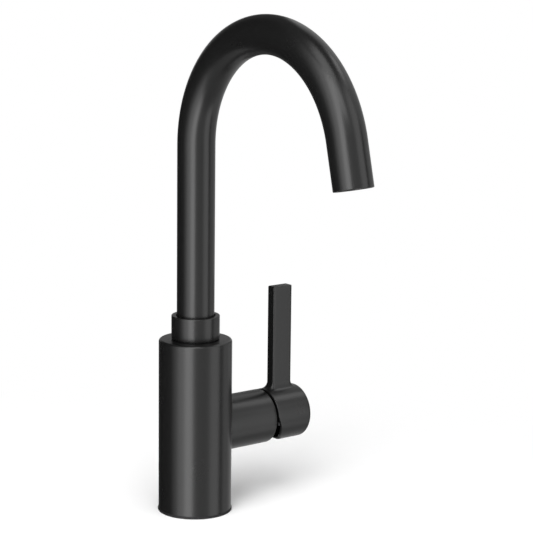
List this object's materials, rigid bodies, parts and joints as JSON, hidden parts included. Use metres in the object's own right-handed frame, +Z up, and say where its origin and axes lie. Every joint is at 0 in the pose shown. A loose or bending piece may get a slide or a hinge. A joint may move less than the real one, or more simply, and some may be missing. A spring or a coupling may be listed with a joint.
{
  "type": "gooseneck bar faucet",
  "caption": "Single-hole gooseneck bar faucet: straight round body, swivelling arched spout and a side blade lever that lifts for flow and turns for temperature.",
  "frame": {"origin": "centre of the gasket's underside, on the deck's top face and on the body's axis", "axes": "+Z up along the body, -Y the way the spout reaches at rest, +X along the valve's axis towards the handle"},
  "size_m": [0.1146, 0.1997, 0.3997],
  "materials": {
    "black_finish": "satin black coating on brass and zinc",
    "brass": "machined brass",
    "steel": "plain stainless steel",
    "rubber": "matt black rubber",
    "ceramic": "lapped alumina",
    "white_plastic": "moulded acetal",
    "grey_plastic": "moulded plastic",
    "black_plastic": "moulded black plastic"
  },
  "bodies": {
    "body": {"body_shell": "black_finish", "deck_gasket": "rubber", "base_plate": "brass", "mounting_shank": "brass", "waterway_core": "brass", "cartridge_barrel": "brass", "cartridge_base": "grey_plastic", "port_seals": "rubber", "fixed_disc": "ceramic", "cartridge_housing": "white_plastic", "cartridge_nut": "brass", "bonnet_cap": "black_finish", "glide_ring": "black_plastic", "post_seals": "rubber"},
    "spout": {"spout_hub": "brass", "spout_screw": "steel", "spout_collar": "black_finish", "spout_tube": "black_finish", "outlet_bush": "brass", "aerator_gasket": "rubber", "aerator_housing": "black_plastic", "aerator_insert": "grey_plastic"},
    "valve_rotor": {"stem_rotor": "white_plastic", "rotor_seal": "rubber", "pivot_pin": "steel"},
    "lever": {"handle": "black_finish", "set_screw": "steel", "set_screw_plug": "black_plastic", "lever_stem": "brass"},
    "disc_slide": {"moving_disc": "ceramic", "disc_carrier": "white_plastic"},
    "deck_clamp": {"mounting_nut": "brass", "steel_washer": "steel", "rubber_washer": "rubber"}
  },
  "joints": [
    {"name": "spout_swivel", "type": "hinge", "parent": "body", "child": "spout", "pos_m": [0, 0, 0.1195], "axis": [0, 0, 1], "continuous": true},
    {"name": "handle_temperature", "type": "hinge", "parent": "body", "child": "valve_rotor", "pos_m": [0.042, 0, 0.0569], "axis": [1, 0, 0], "range_deg": [-50, 50]},
    {"name": "handle_flow", "type": "hinge", "parent": "valve_rotor", "child": "lever", "pos_m": [0.042, 0, 0.0569], "axis": [0, 1, 0], "range_deg": [0, 20]},
    {"name": "disc_travel", "type": "slide", "parent": "valve_rotor", "child": "disc_slide", "axis": [0, 0, 1], "range_m": [0, 0.00271]},
    {"name": "deck_clamp_travel", "type": "slide", "parent": "body", "child": "deck_clamp", "axis": [0, 0, 1], "range_m": [-0.02, 0.017]}
  ],
  "couplings": [
    {"joint": "disc_travel", "follows": "handle_flow", "m_per_rad": 0.00775}
  ]
}
